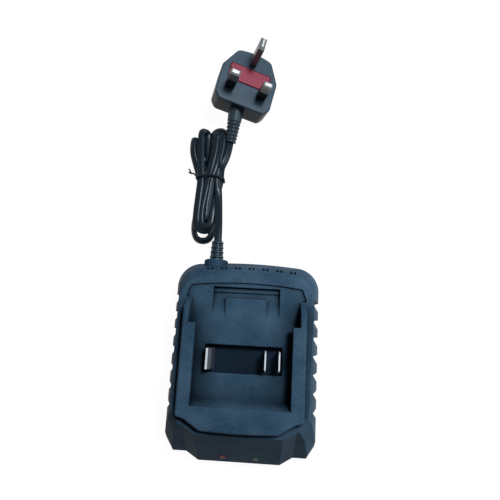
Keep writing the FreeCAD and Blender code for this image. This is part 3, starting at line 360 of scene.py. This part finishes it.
# %% [markdown]
# Light
#
# One strong light stands above the charger, to the right and the rear, so that the top is
# clear, the shadows are short and the steep walls stay dark. A weaker one, low on the
# right, lights the right shoulder. Sizes and places are in metres, and power is in watts.

# %% Two lamps
LAMP_AIM = (0, 0.05, 0.02)


def add_lamp(name, place, size, power):
    data = bpy.data.lights.new(name, "AREA")
    data.shape = "RECTANGLE"
    data.size, data.size_y = size
    data.energy = power
    turn = (Vector(LAMP_AIM) - Vector(place)).to_track_quat("-Z", "Y").to_matrix().to_4x4()
    add_object(name, data).matrix_world = Matrix.Translation(place) @ turn
    print(name, power, "W")


add_lamp("key_above", place=(0.21, 0.26, 0.56), size=(0.14, 0.14), power=4.7)
add_lamp("side_right", place=(0.60, 0.22, 0.30), size=(0.2, 0.4), power=1.6)
bpy.context.scene.view_settings.view_transform = "Standard"

# %% [markdown]
# Effects shared by several finishes
#
# Each effect is one node group with named inputs, built once, so that every material can
# set its own scale and depth. A group takes its own parts from a few small helpers: noise
# in space, a blend of two colours, and a bump.

# %% Helpers for the groups
GROUP_OUTPUTS = {"Colour": "NodeSocketColor", "Roughness": "NodeSocketFloat",
                 "Normal": "NodeSocketVector"}


def new_group(name, inputs):
    """A group with its two ends: what it is given, and where it puts its results."""
    group = bpy.data.node_groups.new(name, "ShaderNodeTree")
    for label, kind, value in inputs:
        socket = group.interface.new_socket(label, in_out="INPUT", socket_type=kind)
        socket.default_value = value
    for label, kind in GROUP_OUTPUTS.items():
        group.interface.new_socket(label, in_out="OUTPUT", socket_type=kind)
    given = group.nodes.new("NodeGroupInput").outputs
    out = group.nodes.new("NodeGroupOutput").inputs
    return group, given, out


def noise(group, where, scale, detail):
    node = group.nodes.new("ShaderNodeTexNoise")
    for label, term in {"Vector": where, "Scale": scale, "Detail": detail}.items():
        feed(group, node.inputs[label], term)
    return node.outputs["Fac"]


def vector_maths(group, kind, vector, label, term):
    """A Vector Math node's result, with one more input named by its label or number."""
    node = group.nodes.new("ShaderNodeVectorMath")
    node.operation = kind
    group.links.new(vector, node.inputs[0])
    group.links.new(term, node.inputs[label])
    return node.outputs["Vector"]


def blend(group, share, first, second):
    """A colour between two; a colour Mix node has them on its inputs 6 and 7."""
    node = group.nodes.new("ShaderNodeMix")
    node.data_type = "RGBA"
    group.links.new(share, node.inputs[0])
    group.links.new(first, node.inputs[6])
    group.links.new(second, node.inputs[7])
    return node.outputs[2]


def bump(group, height, strength, distance):
    node = group.nodes.new("ShaderNodeBump")
    for label, term in {"Height": height, "Strength": strength, "Distance": distance}.items():
        feed(group, node.inputs[label], term)
    return node


print("each group puts out:", ", ".join(GROUP_OUTPUTS))

# %% [markdown]
# Moulded plastic, with painted shade in its corners
#
# Plastic of this kind is eroded in the mould by sparks, which leaves a fine even grain and
# a faint cloudiness. The mould also rounds every edge a little. The frame's meshes are
# loose triangles that stay as they are, so a Bevel node turns the normal at each edge
# instead. Dark plastic looks darkest in its corners, where little of a room's light
# arrives. Two lamps alone show that too weakly, so an Ambient Occlusion node paints that
# shade into the colour, by an amount that each material sets.

# %% Group for moulded plastic
GRAIN_HEIGHT = 0.0002
GRAIN_DETAIL = 3.0
GRAIN_ROUGHNESS = 0.12
SPECK_SPAN = (0.3, 0.7)
SPECK_SHARE = 0.3
CLOUD_SCALE = 55.0
CLOUD_DETAIL = 4.0
CLOUD_SPAN = (0.35, 0.75)
CLOUD_SHARE = 0.35
EDGE_SAMPLES = 6
CORNER_SAMPLES = 8
CORNER_REACH = 0.018
CORNER_SPAN = (0.4, 0.96)


def corner_shade(group, depth):
    """Painted shade: a factor of 1 in the open that falls by the given depth in the deepest corners."""
    painted_shade = group.nodes.new("ShaderNodeAmbientOcclusion")
    painted_shade.samples = CORNER_SAMPLES
    painted_shade.inputs["Distance"].default_value = CORNER_REACH
    lowest = maths(group, "SUBTRACT", 1.0, depth)
    return remap(group, painted_shade.outputs["AO"], *CORNER_SPAN, lowest)


def grain_and_painted_shade_group():
    group, given, out = new_group(
        "moulded_grain_and_painted_shade",
        [("Colour", "NodeSocketColor", (0.5, 0.5, 0.5, 1)),
         ("Bloom", "NodeSocketColor", (0.6, 0.6, 0.6, 1)),
         ("Grain Scale", "NodeSocketFloat", 2600.0), ("Grain Depth", "NodeSocketFloat", 0.25),
         ("Roughness", "NodeSocketFloat", 0.5), ("Edge Radius", "NodeSocketFloat", 0.0004),
         ("Painted Corner Shade", "NodeSocketFloat", 0.0)])
    where = group.nodes.new("ShaderNodeTexCoord").outputs["Object"]
    grain = noise(group, where, given["Grain Scale"], GRAIN_DETAIL)
    cloud = noise(group, where, CLOUD_SCALE, CLOUD_DETAIL)
    specks = remap(group, grain, *SPECK_SPAN, 0.0, SPECK_SHARE)
    share = maths(group, "MULTIPLY_ADD", remap(group, cloud, *CLOUD_SPAN), CLOUD_SHARE, specks)
    colour = blend(group, share, given["Colour"], given["Bloom"])
    # Painted shade: an Ambient Occlusion factor darkens the colour in corners and recesses.
    shade = corner_shade(group, given["Painted Corner Shade"])
    edge = group.nodes.new("ShaderNodeBevel")
    edge.samples = EDGE_SAMPLES
    group.links.new(given["Edge Radius"], edge.inputs["Radius"])
    skin = bump(group, grain, given["Grain Depth"], GRAIN_HEIGHT)
    group.links.new(edge.outputs["Normal"], skin.inputs["Normal"])
    rough = maths(group, "MULTIPLY_ADD", grain, GRAIN_ROUGHNESS, given["Roughness"])
    group.links.new(vector_maths(group, "SCALE", colour, "Scale", shade), out["Colour"])
    group.links.new(rough, out["Roughness"])
    group.links.new(skin.outputs[0], out["Normal"])
    return group


GRAIN_AND_PAINTED_SHADE = grain_and_painted_shade_group()
print("group:", GRAIN_AND_PAINTED_SHADE.name, len(GRAIN_AND_PAINTED_SHADE.nodes), "nodes")

# %% [markdown]
# Drawn metal
#
# Sheet and wire are pulled or rolled, which leaves streaks along one direction. Noise looks
# like streaks once its space is stretched more along one axis than along the others.

# %% Group for drawn metal
STREAK_DETAIL = 4.0
STREAK_ROUGHNESS = 0.2
STREAK_HEIGHT = 0.0001
STREAK_DEPTH = 0.2


def drawn_metal_group():
    group, given, out = new_group(
        "drawn_metal",
        [("Colour", "NodeSocketColor", (0.7, 0.7, 0.7, 1)),
         ("Dull", "NodeSocketColor", (0.4, 0.4, 0.4, 1)),
         ("Streaks", "NodeSocketVector", (400.0, 400.0, 4000.0)),
         ("Roughness", "NodeSocketFloat", 0.25)])
    where = group.nodes.new("ShaderNodeTexCoord").outputs["Object"]
    stretched = vector_maths(group, "MULTIPLY", where, 1, given["Streaks"])
    streak = noise(group, stretched, 1.0, STREAK_DETAIL)
    rough = maths(group, "MULTIPLY_ADD", streak, STREAK_ROUGHNESS, given["Roughness"])
    skin = bump(group, streak, STREAK_DEPTH, STREAK_HEIGHT)
    group.links.new(blend(group, streak, given["Colour"], given["Dull"]), out["Colour"])
    group.links.new(rough, out["Roughness"])
    group.links.new(skin.outputs[0], out["Normal"])
    return group


METAL = drawn_metal_group()
print("group:", METAL.name, len(METAL.nodes), "nodes")

# %% [markdown]
# Finishes
#
# A finish is a shader with plain numbers on its own sockets, and one of the groups for what
# changes over the surface. Colours are written as they look on a screen and are turned into
# the linear values that a shader needs.

# %% Shader with a group


def screen(*levels):
    """A colour as a screen shows it, 0 to 255, as linear values for a shader."""
    shares = [level / 255 for level in levels]
    linear = [s / 12.92 if s <= 0.04045 else ((s + 0.055) / 1.055) ** 2.4 for s in shares]
    return tuple(linear) + (1.0,)


def finish_with(group, name, inputs, plain):
    """A material whose changing parts come from a group and whose plain numbers are set here."""
    material = bpy.data.materials.new(name)
    material.use_nodes = True
    tree = material.node_tree
    shader = tree.nodes["Principled BSDF"]
    effect = tree.nodes.new("ShaderNodeGroup")
    effect.node_tree = group
    for label, value in inputs.items():
        effect.inputs[label].default_value = value
    for label, target in {"Colour": "Base Color", "Roughness": "Roughness", "Normal": "Normal"}.items():
        tree.links.new(effect.outputs[label], shader.inputs[target])
    for label, value in plain.items():
        shader.inputs[label].default_value = value
    return material


print("mid grey on a screen is", round(screen(128, 128, 128)[0], 3), "in light")

# %% [markdown]
# A plastic mirrors very little light, and on the dark case even that little would look
# white under this bright sky. So the gloss is set low for each plastic, with a cool tint.

# %% Functions for a plastic and a metal
COOL_GLOSS = (0.72, 0.88, 1.0, 1.0)
FINISH = {}


def plastic(name, colour, bloom, roughness, scale=2600.0, depth=0.25, gloss=0.35, edge=0.4,
            painted_shade=0.0):
    """A moulded plastic: two colours it varies between, grain, gloss, soft edge in mm, and painted
    shade in its corners.
    """
    FINISH[name] = finish_with(
        GRAIN_AND_PAINTED_SHADE, name,
        {"Colour": screen(*colour), "Bloom": screen(*bloom), "Grain Scale": scale,
         "Grain Depth": depth, "Roughness": roughness, "Edge Radius": edge * MM,
         "Painted Corner Shade": painted_shade},
        {"Specular IOR Level": gloss, "Specular Tint": COOL_GLOSS})


def metal(name, colour, dull, roughness, streaks=(400.0, 400.0, 4000.0)):
    """A drawn metal: two colours it varies between, and how its streaks are stretched."""
    FINISH[name] = finish_with(
        METAL, name,
        {"Colour": screen(*colour), "Dull": screen(*dull), "Streaks": streaks,
         "Roughness": roughness},
        {"Metallic": 1.0})


print("cool gloss tint:", COOL_GLOSS[:3])

# %% [markdown]
# The case is a dark blue-grey with a fine grain. Its base and the block below the window
# are nearly black, and the contacts in the window are bright. The two lamps are unlit, so
# their lenses are dark.

# %% Finishes of the case
# The case and its base get painted shade in their corners: the last number says how much.
plastic("case_plastic", (26, 50, 68), (76, 101, 123), 0.42, scale=1200.0, gloss=0.02, edge=0.7,
        painted_shade=0.9)
plastic("base_plastic", (16, 23, 27), (28, 38, 44), 0.5, scale=1200.0, gloss=0.02, edge=0.7,
        painted_shade=0.5)
plastic("foot_rubber", (22, 22, 23), (40, 40, 42), 0.8, scale=900.0, depth=0.4)
plastic("block_plastic", (12, 23, 35), (20, 34, 48), 0.5, gloss=0.04)
plastic("lens_red", (92, 24, 32), (110, 40, 48), 0.2, depth=0.0, gloss=0.06)
plastic("lens_green", (20, 70, 56), (36, 92, 76), 0.2, depth=0.0, gloss=0.06)
metal("screw_steel", (178, 178, 180), (120, 120, 122), 0.3)
metal("terminal_metal", (205, 214, 220), (140, 152, 162), 0.22)
print("finishes:", len(FINISH))

# %% [markdown]
# The cord's jacket is almost black and smooth, and its boots are of the same soft plastic
# with a duller skin. The plug is the case's blue-grey with a smoother skin. Its fuse
# carrier is a muted red, and its pins are dull nickel with dark sleeves.

# %% Finishes of the cord and the plug
plastic("cord_jacket", (8, 18, 26), (16, 28, 37), 0.24, scale=1200.0, depth=0.1, gloss=0.15, edge=0.2)
plastic("boot_plastic", (18, 31, 40), (28, 43, 54), 0.32, scale=1200.0, depth=0.1, gloss=0.3,
        edge=0.15)
plastic("tie_plastic", (14, 18, 22), (22, 28, 33), 0.3, scale=1200.0, gloss=0.14)
# The plug gets a weaker painted shade in its corners.
plastic("plug_plastic", (42, 56, 68), (66, 82, 96), 0.3, scale=1200.0, gloss=0.06, edge=0.6,
        painted_shade=0.3)
plastic("sleeve_plastic", (20, 28, 33), (30, 38, 43), 0.4, gloss=0.12)
plastic("carrier_plastic", (108, 32, 48), (132, 54, 70), 0.35, scale=1200.0, gloss=0.1)
plastic("fuse_ceramic", (226, 222, 210), (238, 236, 228), 0.2, scale=800.0)
metal("pin_nickel", (128, 132, 134), (82, 86, 88), 0.36)
metal("clip_brass", (206, 174, 96), (160, 130, 66), 0.25)
print("finishes:", len(FINISH))

# %% [markdown]
# The pieces inside the case are seen only when it is opened. Each kind has the colour that
# it commonly has on a board of this sort, such as a yellow taped winding.

# %% Finishes inside the case
plastic("board_laminate", (34, 92, 54), (44, 112, 66), 0.35, scale=1500.0)
plastic("ferrite", (48, 48, 50), (66, 66, 68), 0.6, scale=1200.0, depth=0.6)
plastic("winding", (196, 160, 44), (214, 182, 80), 0.35, scale=400.0)
plastic("capacitor_sleeve", (22, 26, 52), (40, 44, 74), 0.25, scale=500.0)
plastic("film_capacitor", (206, 186, 92), (222, 204, 120), 0.3, scale=500.0)
plastic("component_black", (24, 24, 26), (40, 40, 42), 0.45, scale=1800.0)
plastic("tail_insulation", (40, 66, 140), (60, 86, 160), 0.3, scale=1200.0)
metal("choke_winding", (196, 110, 60), (150, 76, 38), 0.3, (3000.0, 600.0, 600.0))
metal("sink_aluminium", (205, 206, 209), (160, 161, 164), 0.35, (300.0, 4000.0, 300.0))
print("finishes:", len(FINISH))

# %% [markdown]
# Painting the frame's pieces
#
# The record names a material slot for each node, and the finishes have the slots' names, so
# one loop gives each piece its finish.

# %% Give every carried-over node its finish
slot_of = {part["node"]: part["material_slot"] for part in frame["record"]["subparts"]}
for name, node in nodes.items():
    node.data.materials.clear()
    node.data.materials.append(FINISH[slot_of[name]])
mains_cord.data.materials.append(FINISH["cord_jacket"])
print("painted nodes:", len(slot_of))

# %% [markdown]
# The two boots
#
# A boot of soft plastic keeps the cord from kinking where it meets a rigid piece. It is a
# cone cut into rings, which lets it bend, so its shape is a turned one: a profile is drawn
# once and spun round the boot's axis, as a lathe would. The rings' rounded crests catch
# points of light that a plain cone would not. Each ring is a row of pairs: how far along it
# a point is, and how deep in the groove.

# %% Profile of a ringed boot
RING_SHAPE = [(0.04, 0.8), (0.12, 1.0), (0.34, 1.0), (0.42, 0.5), (0.52, 0.12), (0.68, 0.0),
              (0.84, 0.12), (0.94, 0.5)]


def boot_profile(length, root, tip, rings, smooth, depth):
    """Radius and distance along the axis; smooth is the share of the length with no rings."""
    first = length * smooth
    pitch = (length - first) / rings
    profile = [(0.0, 0.0), (root, 0.0)]
    if smooth:
        profile.append((root + (tip - root) * smooth, first))
    for i in range(rings):
        for share, sunk in RING_SHAPE:
            along = first + pitch * (i + share)
            profile.append((root + (tip - root) * along / length - depth * sunk, along))
    return profile + [(0.0, length)]


print("points in a ring:", len(RING_SHAPE))

# %% Spin, lay along a line, and finish a mesh
SPIN_STEPS = 40
SHARP_FROM = math.radians(38)


def spun(shape, profile):
    """Spin a row of radius and height round the z axis."""
    row = [shape.verts.new((radius * MM, 0, height * MM)) for radius, height in profile]
    edges = [shape.edges.new(pair) for pair in zip(row, row[1:])]
    bmesh.ops.spin(shape, geom=row + edges, cent=(0, 0, 0), axis=(0, 0, 1), angle=math.tau,
                   steps=SPIN_STEPS, use_merge=True)
    bmesh.ops.remove_doubles(shape, verts=shape.verts, dist=1e-6)


def along_line(start, end):
    """Matrix that lays the z axis from one point to another, both in millimetres."""
    line = Vector(end) - Vector(start)
    turn = line.to_track_quat("Z", "Y").to_matrix().to_4x4()
    return Matrix.Translation(Vector(start) * MM) @ turn


def new_piece(name, shape, finish):
    """Turn a finished bmesh into a smooth shaded object at the origin."""
    bmesh.ops.recalc_face_normals(shape, faces=shape.faces)
    mesh = bpy.data.meshes.new(name)
    shape.to_mesh(mesh)
    shape.free()
    mesh.shade_smooth()
    mesh.set_sharp_from_angle(angle=SHARP_FROM)
    mesh.materials.append(FINISH[finish])
    print(name, len(mesh.polygons), "faces")
    return add_object(name, mesh)


print("faces round a spun boot:", SPIN_STEPS)

# %% The plug's boot
PLUG_BOOT_ROOT = (-14.89, 170.24, 13.45)
shape = bmesh.new()
spun(shape, boot_profile(length=25.27, root=5.5, tip=3.9, rings=6, smooth=0.42, depth=0.6))
bmesh.ops.transform(shape, matrix=along_line(PLUG_BOOT_ROOT, PLUG_LEAD[-1]), verts=shape.verts)
plug_boot = new_piece("ringed_plug_boot", shape, "boot_plastic")
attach(plug_boot, "charger")
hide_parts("plug_boot")

# %% [markdown]
# The charger's boot is shorter and is ringed right up to the case. It also has long bars
# that tie its rings together, which gives it the look of a net. A bar is a cube whose
# corners are moved: its outer side leans with the boot's cone and its inner side stays in
# the core.

# %% The charger's boot, with its bars
CASE_BOOT_ROOT = (-21.3, 60.7, 14.0)
CASE_BOOT_LENGTH = 12.4
BAR_ANGLES = (38, 142, 218, 322)
BAR_HALF_WIDTH = 0.55
BAR_INNER = 2.4
BAR_OUTER_ROOT = 4.6
BAR_OUTER_TIP = 3.8


def add_bar(shape, angle):
    """One bar along the boot, turned round its axis by an angle in degrees."""
    bar = bmesh.ops.create_cube(shape, size=2.0)["verts"]
    for vert in bar:
        outer, height = (BAR_OUTER_TIP, CASE_BOOT_LENGTH) if vert.co.z > 0 else (BAR_OUTER_ROOT, 0.0)
        radius = outer if vert.co.x > 0 else BAR_INNER
        vert.co = Vector((radius, vert.co.y * BAR_HALF_WIDTH, height)) * MM
    turn = Matrix.Rotation(math.radians(angle), 3, "Z")
    bmesh.ops.rotate(shape, verts=bar, cent=(0, 0, 0), matrix=turn)


shape = bmesh.new()
spun(shape, boot_profile(CASE_BOOT_LENGTH, root=4.65, tip=3.85, rings=4, smooth=0.0, depth=1.1))
for angle in BAR_ANGLES:
    add_bar(shape, angle)
bmesh.ops.transform(shape, matrix=along_line(CASE_BOOT_ROOT, LEAD[0]), verts=shape.verts)
case_boot = new_piece("barred_case_boot", shape, "boot_plastic")
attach(case_boot, "charger")
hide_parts("strain_relief")

# %% [markdown]
# The tie
#
# A short wire in a plastic skin is wound once round the hank's waist and twisted shut. A
# curve with a bevel would make it too, but its ends fork, so it is put together from short
# rods with a ball at each joint. Its loop is a squared oval, because it presses on a flat
# bundle, and it bows a little along the cord, above and below the bundle's middle.

# %% A chain of rods
ROD_SIDES = 10
BALL_SUBDIVISIONS = 2


def rod_chain(shape, points, radius):
    """Round rods from point to point, in millimetres, with a ball at each point."""
    for a, b in zip(points, points[1:]):
        length = (Vector(b) - Vector(a)).length * MM
        place = along_line(a, b) @ Matrix.Translation((0, 0, length / 2))
        bmesh.ops.create_cone(shape, segments=ROD_SIDES, radius1=radius * MM,
                              radius2=radius * MM, depth=length, matrix=place)
    for point in points:
        bmesh.ops.create_icosphere(shape, subdivisions=BALL_SUBDIVISIONS, radius=radius * MM,
                                   matrix=Matrix.Translation(Vector(point) * MM))


print("sides of a rod:", ROD_SIDES)

# %% Tie round the hank
TIE_MIDDLE = (-30.6, 6.2)
TIE_HALF = (9.6, 5.4)
TIE_SQUARENESS = 0.55
TIE_BOW = 1.2
TIE_SHIFT = 0.6
TIE_STEPS = 28
TIE_RADIUS = 0.6
LONG_END = [(-39.8, 119.6, 8.0), (-42.0, 121.6, 8.6), (-43.6, 121.4, 8.9), (-45.2, 122.0, 9.2)]
FORKED_END = [LONG_END[2], (-44.6, 123.4, 9.0), (-45.4, 124.4, 9.2)]
KNOT = [(-21.2, 118.4, 7.6), (-20.8, 116.4, 7.8)]


def squared(share):
    """A sine or cosine pushed outwards, so that a circle becomes a rounded square."""
    return math.copysign(abs(share) ** TIE_SQUARENESS, share)


loop = []
for i in range(TIE_STEPS + 1):
    angle = math.tau * i / TIE_STEPS
    across, upward = squared(math.cos(angle)), squared(math.sin(angle))
    loop.append((TIE_MIDDLE[0] + TIE_HALF[0] * across,
                 TIE_Y + TIE_BOW * (1 - abs(across)) + TIE_SHIFT,
                 TIE_MIDDLE[1] + TIE_HALF[1] * upward))
shape = bmesh.new()
for points, radius in ((loop, TIE_RADIUS), (LONG_END, 0.55), (FORKED_END, 0.5), (KNOT, 0.9)):
    rod_chain(shape, points, radius)
tie = new_piece("twisted_tie", shape, "tie_plastic")
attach(tie, "charger")
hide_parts("wire_tie")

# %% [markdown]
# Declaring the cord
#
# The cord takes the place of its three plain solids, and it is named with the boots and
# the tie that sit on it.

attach(mains_cord, "charger")
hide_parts("cord_lead", "cord_hank", "cord_plug_lead")
